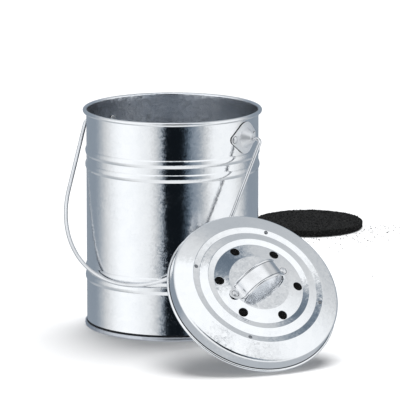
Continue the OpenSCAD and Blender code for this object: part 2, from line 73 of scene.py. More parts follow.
HEM_OUT = 1.9
HEM_H = 3.8
HEM_ROUND = 1.0
HEM_INNER_ROUND = 0.3
HEM_SOLE_T = 1.0
HEM_SHADE_H = 0.9         # painted shade: a dark line on the wall above the hem
LIP_T = 0.7
FOOT_GAP = 0.08          # between the wall's foot and the hem round it
FLOOR_Z = 2.2
FLOOR_T = 0.8
FLOOR_ROUND = 0.6

PIVOT_Z = PAIL_H - 23.15
EAR_EDGE_OUT = 1.4       # the ear's cut edge is closer to the wall than this
DOME_FOOT_R = 11.8       # and further than this from the dome's middle
HEAD_EDGE_W = 0.5        # painted shade on the edge of an ear rivet's head
STRAP_HEAD_EDGE_W = 0.4  # painted shade on the edge of a handle rivet's head

BAIL_R = 2.0             # wire radius
BAIL_HALF_SPAN = 109.0   # corner of the bend, from the pail's axis
BAIL_BEND_R = 5.0
BOW_R = 103.0
REST_GAP = 0.3           # between the hanging bail and the beads
UPSET_X = 96.2           # the wire's end inside the ear's dome
UPSET_R = 3.2
UPSET_T = 2.0
UPSET_ROUND = 0.5

LID_WIRE_R = 0.75
LID_CURL = 310           # how far the skirt's edge curls round its wire
SEAT_ANGLE = 28
LID_H = 24.1             # every height on the lid is given from here
DISC_R = 32.0
DISC_RISE = 1.4
VALLEY_IN_R = 47.2
VALLEY_IN_DROP = 0.75
RIDGE_IN_R = 53.6
RIDGE_IN_RISE = 0.4
VALLEY_OUT_R = 62.1
VALLEY_OUT_DROP = 2.3
RIDGE_OUT_R = 68.8
RIDGE_OUT_DROP = 1.5
SHOULDER_DROP = 8.3
SHOULDER_R = 3.0         # rounding of the shoulder
CREASE_R = 1.4           # rounding of the ridges' bends
SKIRT_FOOT_Z = 2.4       # just above the hem's curl
HEM_GROOVE_W = 0.55      # painted shade in the groove between the skirt and the hem's curl
HEM_GROOVE_BITE = 0.1    # it starts this far inside the skirt's face
HEM_GROOVE_Z = (0.6, 2.3)

VENTS = 6
VENT_RING_R = 41.8
VENT_R = 5.0
VENT_PUNCH = 14          # length of the punch that cuts a vent
RIVET_HOLE_R = 2.05
CLIP_HOLE_R = 1.25
RIVET_PUNCH = 8
STRAP_AZIMUTH = 30
STRAP_RIVET_X = 31.6
STRAP_GROOVE = 7.6       # from the strap's middle line to the foot of its rolled edges
CLIPS = 4
CLIP_AZIMUTH = 75.6
CLIP_RIVET_AT = 66.2
CLIP_RIVET_DROP = 1.8
CLIP_SLOPE = 6.8         # how much the sheet under the clips' rivets rises outwards

LID_AZIMUTH = -33        # how the lid leans: the way its face looks,
LID_ELEVATION = 44       # how far up it looks,
LID_SPIN = -10.7         # how far it is turned in its own plane,
LID_BEARING = -31.75     # and where it stands, seen from the pail's axis
LID_CLEAR = 17.0         # from the bail's half span out to the lid's hem

FILTER_R = 63.0
FILTER_T = 8.0
FILTER_LIFT = 0.1        # the spare filter's fibres keep it this far off the ground
FITTED_TOP = LID_H - 3.2
FELT_FRAY = 0.6          # room for the ragged edge inside the filter's radius
FELT_NAP = 0.5           # room for the uneven face inside its thickness
FELT_ROUND = (1.5, 1.6)  # rounding of its lower and its upper edge
FRAY_REACH = 4           # the edge frays from this far inside the radius,
FRAY_W = 1.8             # and by this much there
LUMP_H = 0.35
FIBRE_H = 0.28
SOLE_H = 0.2             # below this height its underside stays flat
GRANULE_R = 0.6
GRANULE_DENSITY = 100000     # granules per square metre of felt
GRANULE_SEED = 11

WALL_SECTORS = 270       # how finely the round pieces are divided
BASE_SECTORS = 240
LID_SECTORS = 264
FELT_SECTORS = 240
SMALL_SECTORS = 48
WIRE_SIDES = 32

FOOT_Z = HEM_SOLE_T + FOOT_GAP
ROLL_R = RIM_WIRE_R + WIRE_GAP + SHEET
RIM_R = WALL_R - SHEET + ROLL_R
RIM_Z = PAIL_H - ROLL_R
BEAD_R = ((BEAD_H / 2) ** 2 + BEAD_OUT ** 2) / (2 * BEAD_OUT)
BEAD_CENTRE = WALL_R + BEAD_OUT - BEAD_R
HEM_ROLL_R = LID_WIRE_R + WIRE_GAP + SHEET
LID_HEM_R = RIM_R - (ROLL_R + HEM_ROLL_R) * cos(radians(SEAT_ANGLE))
SKIRT_IN_R = LID_HEM_R - HEM_ROLL_R
SKIRT_R = SKIRT_IN_R + SHEET

# ---------------------------------------------------------------- the studio's values

CAMERA_AT = (2.4925, -3.8381, 1.0368)
CAMERA_AZIMUTH = 122.639     # level direction that the camera looks in, from +X
CAMERA_PITCH = -11.196
FOCAL = 400.42
SENSOR_W = 36

SUN_FROM = (0.07, 0.36, 1.0)     # to the camera's right, away from it and up
SUN_SPREAD = 36
SUN_STRENGTH = 3.4
FLOOR_SIZE = 6               # metres from its middle to its edge
FLOOR_DROP = 0.2             # millimetres under the pail, so that the two never share a plane
FLOOR_GLOW = 0.05            # lifts the floor's plain parts to white for the camera
ROOM_DIMMED = 0.65           # how much less the room lights matt surfaces than it shows in the metal

STAND_IN_R = 46              # one-sided copy of the lid's disc,
STAND_IN_RISE = 0.9          # inside its sheet
BLACK_CARD_R = 34
BLACK_CARD_STRETCH = 0.42    # its width over its length, which runs along the strap

DUST_GRAINS = 260
DUST_SEED = 5
DUST_BEARINGS = (-55, 95)    # round the spare filter: 0 is towards the camera, and 90 to its right
DUST_GAP = 3                 # between the filter's edge and the nearest grains
DUST_REACH = 30              # mean distance beyond that
DUST_SIZE = (0.22, 0.6)

# The room is given by bearings from the camera, positive to its right, and by heights, in degrees. A level
# or a rise holds where its change starts and ends, and then its values there. A box or a card holds its two
# edges, and then how soft each is.
WALL_LEVEL = 0.37
LEFT_BOX = (-98, -20, 30, 13)
LEFT_BOX_LEVEL = (-62, -22, 0.76, 0.56)
RIGHT_BOX = (46, 104, 16, 22)
RIGHT_BOX_LEVEL = 0.67
DARK_CARD = (-12, 22.5, 2.5, 9)
DARK_CARD_SHADE = 0.972
CEILING_LEVEL = (50, 160, 1.10, 0.56)
REAR_CEILING = (100, 160)
ZENITH_LIFT = (64, 88, 0, 0.3)
CEILING_PATCHES = ((90, 76, 5, 16, 0.26), (97, 60, 4, 16, 0.72))    # bearing, height, near, far, level
CEILING_EDGE = (24, 38)
CARD_RISE = (12, 30, 12, 0)      # the ceiling starts this much higher above the dark card
GROUND_LEVEL = (50, 110, 0.95, 0.54)
GROUND_EDGE = (-17, -28)
TINT_LEVELS = (0.0, 0.75)
DARK_TINT = (0.52, 0.74, 1.0)
BRIGHT_TINT = (0.975, 0.99, 1.0)

# ---------------------------------------------------------------- values of the finishes

CRYSTALS = 150.0             # per metre
FLECKS = 430.0               # per metre: small facets inside the crystals
CRYSTAL_RAGGED = 0.004       # metres that the crystals' edges wander
GRAIN_DEPTH = 0.00012
WAVE_DEPTH = 0.004
PLATING_DEPTH = 0.0001
FELT_DEPTH = 0.0012
# near-black colour for painted shade: the strap's grooves and the bail's side facing the pail
ZINC_SHADE = (0.10, 0.11, 0.13)

# ---------------------------------------------------------------- camera


def place_camera():
    """A long lens from the front, a little above the rim."""
    azimuth, pitch = radians(CAMERA_AZIMUTH), radians(CAMERA_PITCH)
    look = Vector((cos(azimuth) * cos(pitch), sin(azimuth) * cos(pitch), sin(pitch)))
    data = bpy.data.cameras.new("camera")
    data.sensor_width = SENSOR_W
    data.lens = FOCAL
    data.clip_end = 50
    camera = bpy.data.objects.new("camera", data)
    camera.location = CAMERA_AT
    camera.rotation_euler = look.to_track_quat("-Z", "Y").to_euler()
    scene.collection.objects.link(camera)
    scene.camera = camera
    scene.view_settings.view_transform = "Standard"


# ---------------------------------------------------------------- node trees


class Signal:
    """A socket of a node tree, so that maths on it reads as an expression."""

    def __init__(self, tree, socket):
        self.tree, self.socket = tree, socket

    def math(self, operation, *others):
        return self.tree.add("ShaderNodeMath", {"operation": operation},
                             dict(enumerate((self, *others))))

    def __add__(self, other):
        return self.math("ADD", other)

    def __sub__(self, other):
        return self.math("SUBTRACT", other)

    def __mul__(self, other):
        return self.math("MULTIPLY", other)

    def __rsub__(self, other):
        return self.tree.add("ShaderNodeMath", {"operation": "SUBTRACT"}, {0: other, 1: self})

    __radd__ = __add__
    __rmul__ = __mul__


class Tree:
    """Builds a node tree: add() makes any node, sets it, feeds its sockets and returns one output."""

    def __init__(self, tree):
        self.tree = tree
        tree.nodes.clear()

    def add(self, kind, settings=None, inputs=None, out=0):
        node = self.tree.nodes.new(kind)
        for key, value in (settings or {}).items():
            setattr(node, key, value)
        for key, value in (inputs or {}).items():
            if isinstance(value, Signal):
                self.tree.links.new(value.socket, node.inputs[key])
            else:
                node.inputs[key].default_value = value
        return Signal(self, node.outputs[out]) if len(node.outputs) else node

    def vector(self, operation, *values, out="Vector"):
        """Vector maths on sockets or on plain vectors."""
        return self.add("ShaderNodeVectorMath", {"operation": operation}, dict(enumerate(values)), out)

    def along(self, vector, way):
        """How far a vector reaches in the direction way, as a number."""
        return self.vector("DOT_PRODUCT", vector, way, out="Value")

    def scaled(self, vector, factor):
        """A vector or a colour times a number."""
        return self.add("ShaderNodeVectorMath", {"operation": "SCALE"}, {0: vector, "Scale": factor})

    def mix(self, share, low, high):
        """Colour low where share is 0, and high where it is 1."""
        low, high = ((*c, 1) if isinstance(c, tuple) else c for c in (low, high))
        return self.add("ShaderNodeMix", {"data_type": "RGBA"}, {0: share, 6: low, 7: high}, out=2)

    def ease(self, value, start, end, low=0.0, high=1.0):
        """Goes smoothly from low to high as value goes from start to end."""
        span = {"Value": value, "From Min": start, "From Max": end, "To Min": low, "To Max": high}
        return self.add("ShaderNodeMapRange", {"interpolation_type": "SMOOTHSTEP"}, span)

    def bump(self, height, strength, distance, normal=None):
        inputs = {"Height": height, "Strength": strength, "Distance": distance}
        if normal:
            inputs["Normal"] = normal
        return self.add("ShaderNodeBump", None, inputs)

    def place(self, stretch=(1, 1, 1), turn=(0, 0, 0)):
        """Object coordinates, stretched or turned."""
        point = self.add("ShaderNodeTexCoord", None, None, out="Object")
        return self.add("ShaderNodeMapping", None, {"Vector": point, "Scale": stretch, "Rotation": turn})

    def noise(self, point, scale, detail=3.0, roughness=0.5):
        return self.add("ShaderNodeTexNoise", None,
                        {"Vector": point, "Scale": scale, "Detail": detail, "Roughness": roughness})

    def cells(self, point, scale):
        """Cells that each have a colour of their own."""
        return self.add("ShaderNodeTexVoronoi", {"feature": "F1"}, {"Vector": point, "Scale": scale},
                        out="Color")


def material(name):
    made = bpy.data.materials.new(name)
    made.use_nodes = True
    return made, Tree(made.node_tree)


def surface(tree, **sockets):
    """The Principled shader with its sockets by name, underscores for spaces, as the material's surface."""
    named = {socket.replace("_", " "): value for socket, value in sockets.items()}
    shader = tree.add("ShaderNodeBsdfPrincipled", None, named)
    tree.add("ShaderNodeOutputMaterial", None, {"Surface": shader})


# ---------------------------------------------------------------- finishes


def zinc_sheet(name, bright, dull, rough, spangle, grain, wave, tilt):
    """Hot-dip zinc on sheet steel: crystals a few millimetres across, fine grain and the slight waves of
    rolled sheet. bright and dull are the crystals' colours, spangle is how much they differ, and tilt is how
    far the facets in them lean."""
    made, tree = material(name)
    point = tree.place()
    wander = tree.add("ShaderNodeTexNoise", None, {"Vector": point, "Scale": 160.0, "Detail": 2.0}, out=1)
    bent = tree.vector("MULTIPLY_ADD", wander, (CRYSTAL_RAGGED,) * 3, point)
    tone = tree.add("ShaderNodeSeparateColor", None, {"Color": tree.cells(bent, CRYSTALS)}, out=0)
    patch = tree.ease(tree.noise(point, scale=28.0, detail=4.0, roughness=0.6), 0.42, 0.68)
    speck = tree.noise(point, scale=1500.0, detail=2.0, roughness=0.6)
    height = (speck * 0.2 + tree.noise(point, scale=850.0, detail=3.0, roughness=0.65)
              + tree.noise(point, scale=230.0, detail=3.0, roughness=0.6) * patch)
    normal = tree.bump(height, grain, GRAIN_DEPTH)
    rolled = tree.noise(tree.place(stretch=(1, 1, 0.35)), scale=16.0, detail=1.0)
    normal = tree.bump(rolled, wave, WAVE_DEPTH, normal)
    lean = tree.vector("SUBTRACT", tree.cells(bent, FLECKS), (0.5, 0.5, 0.5))
    leaned = tree.vector("ADD", normal, tree.scaled(lean, (patch * 0.4 + 0.6) * tilt))
    surface(tree, Base_Color=tree.mix(tone * spangle + patch * spangle * 0.5, bright, dull), Metallic=1.0,
            Roughness=tone * patch * 0.08 + speck * 0.04 + rough, Normal=tree.vector("NORMALIZE", leaned))
    return made


def plating(tree, point, colour, rough):
    """Bright zinc plating over faint draw marks: its colour, roughness and normal."""
    marks = tree.noise(point, scale=900.0)
    blotch = tree.ease(tree.noise(point, scale=60.0), 0.35, 0.7)
    shine = tree.mix(blotch * 0.7, colour, tuple(c * 0.86 for c in colour))
    return shine, blotch * 0.08 + marks * 0.06 + rough, tree.bump(marks, 0.03, PLATING_DEPTH)


def drawn_wire(name, colour, rough):
    """Plated wire, rivets and small pressings."""
    made, tree = material(name)
    shine, roughness, normal = plating(tree, tree.place(), colour, rough)
    surface(tree, Base_Color=shine, Metallic=1.0, Roughness=roughness, Normal=normal)
    return made


def strap_finish(name, colour, rough, across, middle):
    """Plated strap with painted shade in the grooves along its rolled edges. across is the direction over
    its width, and middle is how far in that direction its middle line is, in metres."""
    made, tree = material(name)
    point = tree.place()
    shine, roughness, normal = plating(tree, point, colour, rough)
    off = (tree.along(point, tuple(across)) - middle).math("ABSOLUTE") * (1 / MM)
    # painted shade in the grooves beside the rolled edges, mottled by noise
    groove = (tree.ease(off, STRAP_GROOVE - 0.5, STRAP_GROOVE)
              * tree.ease(off, STRAP_GROOVE + 0.1, STRAP_GROOVE + 0.6, 1.0, 0.0)
              * (tree.noise(point, scale=200.0) * 0.5 + 0.62))
    surface(tree, Base_Color=tree.mix(groove, shine, ZINC_SHADE), Metallic=1.0,
            Roughness=groove * 0.2 + roughness, Normal=normal)
    return made


def crease_shade_finish(name):
    """Painted shade for cut edges, folds and the joins between parts: near-black, its tone mottled at
    random.
    """
    made, tree = material(name)
    point = tree.place()
    # painted shade, mottled at random between two near-black tones
    shade_mottle = tree.ease(tree.noise(point, scale=300.0, detail=4.0, roughness=0.6), 0.3, 0.7)
    surface(tree, Base_Color=tree.mix(shade_mottle, (0.035, 0.039, 0.046), (0.012, 0.013, 0.016)), Metallic=0.0,
            Specular_IOR_Level=0.2, Roughness=shade_mottle * 0.2 + 0.5,
            Normal=tree.bump(tree.noise(point, scale=1200.0), 0.3, PLATING_DEPTH))
    return made


def felt_finish(name):
    """Carbon-loaded felt: matt black fibres over a granular ground, with painted glints as grey specks."""
    made, tree = material(name)
    point = tree.place()
    fibre = tree.noise(tree.place((1, 1, 3), (0.3, 0.2, 0.5)), scale=1400.0, detail=5.0, roughness=0.7)
    clump = tree.noise(point, scale=260.0, detail=4.0, roughness=0.65)
    # painted glints: grey specks in the base colour, a little less rough
    glint = tree.ease(tree.noise(point, scale=800.0, detail=2.0, roughness=0.7), 0.54, 0.70)
    ground = tree.mix(tree.ease(clump + fibre * 0.5, 0.55, 1.0), (0.0032,) * 3, (0.0135,) * 3)
    surface(tree, Base_Color=tree.mix(glint * 0.7, ground, (0.085, 0.083, 0.08)), Metallic=0.0,
            Roughness=0.9 - glint * 0.25, Specular_IOR_Level=0.18,
            Normal=tree.bump(fibre * 0.6 + clump, 0.9, FELT_DEPTH))
    return made


def floor_finish():
    """Pale floor: it takes the caddy's shadow, and its plain parts show white."""
    made, tree = material("studio_floor")
    to_camera = tree.add("ShaderNodeLightPath", None, None, out="Is Camera Ray")
    matt = tree.add("ShaderNodeBsdfDiffuse", None, {"Color": (0.86, 0.86, 0.865, 1)})
    glow = tree.add("ShaderNodeEmission", None, {"Color": (1, 1, 1, 1), "Strength": to_camera * FLOOR_GLOW})
    both = tree.add("ShaderNodeAddShader", None, {0: matt, 1: glow})
    tree.add("ShaderNodeOutputMaterial", None, {"Surface": both})
    return made


# ---------------------------------------------------------------- outlines


def in_degrees(angle):
    """An angle in radians as degrees."""
    return angle * 180 / pi


def arc(x, z, r, start, end, step=5):
    """Points of an arc round (x, z), in degrees."""
    count = max(2, ceil(abs(end - start) / step))
    return [(x + r * cos(radians(start + (end - start) * i / count)),
             z + r * sin(radians(start + (end - start) * i / count))) for i in range(count + 1)]


def fine(points, longest):
    """The same path with no stretch longer than longest, so that smooth shading stays true by its bends."""
    path = [points[0]]
    for (x0, z0), (x1, z1) in zip(points, points[1:]):
        parts = max(1, ceil(hypot(x1 - x0, z1 - z0) / longest))
        path += [(x0 + (x1 - x0) * i / parts, z0 + (z1 - z0) * i / parts) for i in range(1, parts + 1)]
    return path


def rounded(corners):
    """An open path of (x, z, corner radius) with its corners rounded."""
    path = [corners[0][:2]]
    for before, at, after in zip(corners, corners[1:], corners[2:]):
        corner, radius = Vector(at[:2]), at[2]
        back = (Vector(before[:2]) - corner).normalized()
        on = (Vector(after[:2]) - corner).normalized()
        half = acos(max(-1, min(1, back.dot(on)))) / 2
        if radius <= 0 or pi / 2 - half < 1e-4:     # a sharp corner, or no bend
            path.append(at[:2])
            continue
        middle = corner + (back + on).normalized() * (radius / sin(half))
        first = corner + back * (radius / tan(half)) - middle
        last = corner + on * (radius / tan(half)) - middle
        start = atan2(first.y, first.x)
        turn = (atan2(last.y, last.x) - start + 3 * pi) % (2 * pi) - pi
        path += arc(middle.x, middle.y, radius, in_degrees(start), in_degrees(start + turn), 4)
    return path + [corners[-1][:2]]


def wall_path(start, end, inset):
    """The wall's outline over its four beads, moved inwards by inset."""
    run = WALL_R + BEAD_FILLET - BEAD_CENTRE
    rise = sqrt((BEAD_R + BEAD_FILLET) ** 2 - run ** 2)
    turn = in_degrees(atan2(rise, run))
    path = [(WALL_R - inset, start)]
    for z in BEAD_Z:
        path += arc(WALL_R + BEAD_FILLET, z - rise, BEAD_FILLET + inset, 180, 180 - turn)
        path += arc(BEAD_CENTRE, z, BEAD_R - inset, -turn, turn)
        path += arc(WALL_R + BEAD_FILLET, z + rise, BEAD_FILLET + inset, 180 + turn, 180)
    return path + [(WALL_R - inset, end)]


# ---------------------------------------------------------------- meshes


def link(name, mesh):
    """A new object in the scene, at the origin."""
    made = bpy.data.objects.new(name, mesh)
    scene.collection.objects.link(made)
    return made


def mesh_of(name, shape):
    """The mesh of a BMesh, which it frees."""
    mesh = bpy.data.meshes.new(name)
    shape.to_mesh(mesh)
    shape.free()
    return mesh


def smooth(mesh, sharp=35):
    """Smooth shading, with the edges sharper than sharp degrees kept crisp."""
    for face in mesh.polygons:
        face.use_smooth = True
    shape = bmesh.new()
    shape.from_mesh(mesh)
    for edge in shape.edges:
        edge.smooth = not (edge.is_manifold and edge.calc_face_angle(0) > radians(sharp))
    shape.to_mesh(mesh)
    shape.free()


def lathe(name, outline, sectors, start=0.0, sweep=360.0, place=Matrix.Identity(4)):
    """A closed outline of (radius, height) in millimetres, turned round Z, as a mesh in metres."""
    shape = bmesh.new()
    whole = sweep == 360
    rings = []
    for i in range(sectors + (0 if whole else 1)):
        turn = radians(start + sweep * i / sectors)
        rings.append([shape.verts.new((r * cos(turn) * MM, r * sin(turn) * MM, z * MM))
                      for r, z in outline])
    count = len(outline)
    for i in range(sectors):
        here, on = rings[i], rings[(i + 1) % len(rings)]
        for j in range(count):
            shape.faces.new((here[j], on[j], on[(j + 1) % count], here[(j + 1) % count]))
    if not whole:
        shape.faces.new(rings[0])
        shape.faces.new(rings[-1])
    bmesh.ops.remove_doubles(shape, verts=shape.verts, dist=1e-7)
    bmesh.ops.recalc_face_normals(shape, faces=shape.faces)
    shape.transform(place)
    mesh = mesh_of(name, shape)
    smooth(mesh)
    return link(name, mesh)


def crisp_copy(node):
    """A copy of a CAD node with its loose triangles joined, so that its bends shade smoothly."""
    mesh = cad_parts[node].data.copy()
    mesh.materials.clear()
    shape = bmesh.new()
    shape.from_mesh(mesh)
    bmesh.ops.remove_doubles(shape, verts=shape.verts, dist=2e-6)
    shape.to_mesh(mesh)
    shape.free()
    smooth(mesh)
    return link(node + "_shown", mesh)


def joined(name, pieces):
    """Several pieces as one, in their place."""
    shape = bmesh.new()
    for piece in pieces:
        shape.from_mesh(piece.data)
        bpy.data.objects.remove(piece)
    mesh = mesh_of(name, shape)
    smooth(mesh)
    return link(name, mesh)


def baked(host):
    """The mesh that the host's modifiers make. The host itself is used up."""
    bpy.context.view_layer.update()
    graph = bpy.context.evaluated_depsgraph_get()
    graph.update()
    mesh = bpy.data.meshes.new_from_object(host.evaluated_get(graph))
    bpy.data.objects.remove(host)
    return mesh


def mark_where(piece, finish, chosen):
    """Gives the faces for which chosen(centre, normal) holds a finish of their own."""
    piece.data.materials.append(finish)
    slot = len(piece.data.materials) - 1
    for face in piece.data.polygons:
        if chosen(face.center, face.normal):
            face.material_index = slot


def edged_rivet(node, finish, edge_shade, middle, axis, edge_w):
    """A copy of a CAD rivet on the line through middle along axis. The edge of its head is painted in shade:
    the faces within edge_w of its greatest radius."""
    def off(place):
        return (place - middle).cross(axis).length / MM

    rivet = crisp_copy(node)
    rivet.data.materials.append(finish)
    widest = max(off(vertex.co) for vertex in rivet.data.vertices)
    mark_where(rivet, edge_shade, lambda at, normal: off(at) > widest - edge_w)
    return rivet


def middle_of(node):
    """The middle of a CAD node's box."""
    low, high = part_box(node)
    return Vector(((low.x + high.x) / 2, (low.y + high.y) / 2, (low.z + high.z) / 2))


def outward(at, normal):
    """How far a face looks away from the pail's axis: 1 straight out, -1 straight in."""
    return (at.x * normal.x + at.y * normal.y) / hypot(at.x, at.y)


def dress(piece, finish, body, slot, *nodes):
    """Gives a piece its finish and its body, and hides the CAD nodes that it stands for. slot is not used.
    """
    if not piece.data.materials:
        piece.data.materials.append(finish)
    piece.visible_glossy = body != "lid"        # the pail's wall mirrors the room, and not the lid
    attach(piece, body)
    if nodes:
        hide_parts(*nodes)
    return piece


# ---------------------------------------------------------------- geometry nodes


class Shaper:
    """A Geometry Nodes tree with named inputs, run once on a host and baked into a plain mesh."""

    def __init__(self, name):
        self.group = bpy.data.node_groups.new(name, "GeometryNodeTree")
        self.face = self.group.interface
        self.face.new_socket("Geometry", in_out="INPUT", socket_type="NodeSocketGeometry")
        self.face.new_socket("Geometry", in_out="OUTPUT", socket_type="NodeSocketGeometry")
        self.source = None
        self.values = {}

    def size(self, name, value, kind="NodeSocketFloat"):
        """A named input with its value for this run."""
        socket = self.face.new_socket(name, in_out="INPUT", socket_type=kind)
        self.values[socket.identifier] = value
        return name

    def add(self, kind, settings=None, inputs=None, out=0):
        node = self.group.nodes.new(kind)
        for key, value in (settings or {}).items():
            setattr(node, key, value)
        for key, value in (inputs or {}).items():
            if isinstance(value, str) and value in self.input_names():
                value = self.source_node().outputs[value]
            if isinstance(value, bpy.types.NodeSocket):
                self.group.links.new(value, node.inputs[key])
            else:
                node.inputs[key].default_value = value
        return node.outputs[out] if len(node.outputs) else node

    def input_names(self):
        return [item.name for item in self.face.items_tree if item.in_out == "INPUT"]

    def source_node(self):
        if self.source is None:
            self.source = self.group.nodes.new("NodeGroupInput")
        return self.source

    def bake(self, host, geometry, finish):
        """Ends the tree in Realize Instances and Set Material, runs it on the host and returns the mesh."""
        real = self.add("GeometryNodeRealizeInstances", None, {"Geometry": geometry})
        dressed = self.add("GeometryNodeSetMaterial", None, {"Geometry": real, "Material": finish})
        end = self.group.nodes.new("NodeGroupOutput")
        self.group.links.new(dressed, end.inputs[0])
        modifier = host.modifiers.new(self.group.name, "NODES")
        modifier.node_group = self.group
        for identifier, value in self.values.items():
            modifier[identifier] = value
        return baked(host)


def wire(name, points, radius, finish):
    """A round wire along points in metres, its ends closed."""
    curve = bpy.data.curves.new(name, "CURVE")
    curve.dimensions = "3D"
    spline = curve.splines.new("POLY")
    spline.points.add(len(points) - 1)
    for point, place in zip(spline.points, points):
        point.co = (*place, 1)
    shaper = Shaper("wire_along_path")
    wire_radius = shaper.size("Wire radius", radius)
    sides = shaper.size("Sides", WIRE_SIDES, "NodeSocketInt")
    section = shaper.add("GeometryNodeCurvePrimitiveCircle", None,
                         {"Radius": wire_radius, "Resolution": sides})
    tube = shaper.add("GeometryNodeCurveToMesh", None,
                      {"Curve": "Geometry", "Profile Curve": section, "Fill Caps": True})
    shaded = shaper.add("GeometryNodeSetShadeSmooth", None, {0: tube})
    mesh = shaper.bake(link(name + "_path", curve), shaded, finish)
    smooth(mesh, 50)
    return link(name, mesh)


def granules(name, felt_piece, density, radius, finish, seed):
    """Carbon granules scattered over the faces of a piece of felt, as one mesh. radius is in metres."""
    host = link(name + "_ground", felt_piece.data.copy())
    host.data.materials.clear()
    shaper = Shaper("granules_on_felt")
    crowd = shaper.size("Granules per square metre", density)
    granule_radius = shaper.size("Granule radius", radius)
    draw = shaper.size("Seed", seed, "NodeSocketInt")
    points = shaper.add("GeometryNodeDistributePointsOnFaces", None,
                        {"Mesh": "Geometry", "Density": crowd, "Seed": draw})
    turn = shaper.add("FunctionNodeRandomValue", {"data_type": "FLOAT_VECTOR"},
                      {"Min": (0, 0, 0), "Max": (6.28, 6.28, 6.28), "Seed": draw})
    grow = shaper.add("FunctionNodeRandomValue", {"data_type": "FLOAT"},
                      {2: 0.45, 3: 1.3, "Seed": draw}, out=1)
    ball = shaper.add("GeometryNodeMeshIcoSphere", None, {"Radius": granule_radius, "Subdivisions": 1})
    chip = shaper.add("GeometryNodeTransform", None, {"Geometry": ball, "Scale": (1.6, 0.9, 0.7)})
    placed = shaper.add("GeometryNodeInstanceOnPoints", None,
                        {"Points": points, "Instance": chip, "Rotation": turn, "Scale": grow})
    return link(name, shaper.bake(host, placed, finish))


# ---------------------------------------------------------------- pieces of the pail


def pail_shell():
    """The wall with its beads, its edge curled out round the rim wire."""
    over = arc(RIM_R, RIM_Z, ROLL_R - SHEET, 180, 180 - RIM_CURL, 9)
    back = arc(RIM_R, RIM_Z, ROLL_R, 180, 180 - RIM_CURL, 9)[::-1]
    outer = fine(wall_path(FOOT_Z, RIM_Z, 0), 5)
    inner = fine(wall_path(FOOT_Z, RIM_Z, SHEET)[::-1], 7)
    return lathe("pail_wall_shown", outer + over + back + inner, WALL_SECTORS)


def seam_fold():
    """The lock seam's fold, which follows the wall over its beads."""
    turn = in_degrees(SEAM_W / WALL_R)
    bottom, top = HEM_H + SEAM_FOOT_GAP, RIM_Z - ROLL_R - SEAM_TOP_GAP
    outline = wall_path(bottom, top, -SEAM_OUT) + wall_path(bottom, top, SEAM_BITE)[::-1]
    return lathe("seam_fold", fine(outline, 5), 8, SEAM_AZIMUTH - turn / 2, turn)


def is_inside(at, normal):
    """Whether a face of the wall looks into the pail, and isn't the outer part of the rim's curl."""
    return hypot(at.x, at.y) < (WALL_R + BEAD_OUT) * MM and outward(at, normal) < -0.5


def is_ear_edge(at, normal):
    """Whether a face is on the cut edge of an ear's plate: it looks along the wall, close to the wall."""
    return (abs(outward(at, normal)) < 0.3 and hypot(at.x, at.y) < (WALL_R + EAR_EDGE_OUT) * MM
            and hypot(at.y, at.z - PIVOT_Z * MM) > DOME_FOOT_R * MM)


def is_foot_line(at, normal):
    """Whether a face is on the wall's outer side, just above the base's hem."""
    return at.z < (HEM_H + HEM_SHADE_H) * MM and outward(at, normal) > 0


def base_shell():
    """The base: its floor, and the hem that holds the wall's foot in a slot."""
    out, slot_in, slot_out = WALL_R + HEM_OUT, WALL_R - SHEET - FOOT_GAP, WALL_R + FOOT_GAP
    lip, floor_top = slot_in - LIP_T, FLOOR_Z + FLOOR_T
    outline = rounded([
        (0, FLOOR_Z, 0), (lip, FLOOR_Z, FLOOR_ROUND), (lip, 0, HEM_INNER_ROUND), (out, 0, HEM_ROUND),
        (out, HEM_H, HEM_ROUND), (slot_out, HEM_H, HEM_INNER_ROUND), (slot_out, HEM_SOLE_T, 0),
        (slot_in, HEM_SOLE_T, 0), (slot_in, HEM_H, HEM_INNER_ROUND), (lip, HEM_H, HEM_INNER_ROUND),
        (lip, floor_top, FLOOR_ROUND), (0, floor_top, 0)])
    return lathe("base_pan_shown", fine(outline, 6), BASE_SECTORS)


def bail_points():
    """The bail's centre line, hanging at rest, from one upset head to the other, in metres."""
    rest = BEAD_CENTRE + sqrt((BEAD_R + BAIL_R + REST_GAP) ** 2 - ((BEAD_Z[1] - BEAD_Z[0]) / 2) ** 2)
    drop = PIVOT_Z - (BEAD_Z[0] + BEAD_Z[1]) / 2
    bow_z = BOW_R - hypot(rest, drop)
    turn = acos(BOW_R / hypot(BAIL_HALF_SPAN, bow_z)) - atan2(-bow_z, BAIL_HALF_SPAN)
    cut = BAIL_BEND_R * cos(turn) / (1 - sin(turn))
    arm = -in_degrees(turn)
    side = [(UPSET_X, 0.0)] + arc(BAIL_HALF_SPAN - cut, -BAIL_BEND_R, BAIL_BEND_R, 90, arm, 6)
    side += arc(0, bow_z, BOW_R, arm, -90, 1.2)
    flat = fine(side, 4)
    flat += [(-x, z) for x, z in flat[-2::-1]]
    tilt = Matrix.Rotation(-atan2(rest, drop), 3, "X")
    return [(tilt @ Vector((x, 0, z)) + Vector((0, 0, PIVOT_Z))) * MM for x, z in flat]


def is_shaded_side(at, normal):
    """Whether a face of the bail looks at the pail. Those faces are painted in shade."""
    return outward(at, normal) < -0.8


def upset_heads():
    """The wire's upset heads inside the two domes, as one mesh."""
    outline = rounded([(0, 0, 0), (UPSET_R, 0, UPSET_ROUND), (UPSET_R, UPSET_T, UPSET_ROUND),
                       (0, UPSET_T, 0)])
    heads = []
    for way in (1, -1):
        where = (Matrix.Translation((way * UPSET_X * MM, 0, PIVOT_Z * MM))
                 @ Matrix.Rotation(way * pi / 2, 4, "Y"))
        heads.append(lathe("bail_head", outline, SMALL_SECTORS, place=where))
    return joined("bail_heads", heads)


# ---------------------------------------------------------------- pieces of the lid


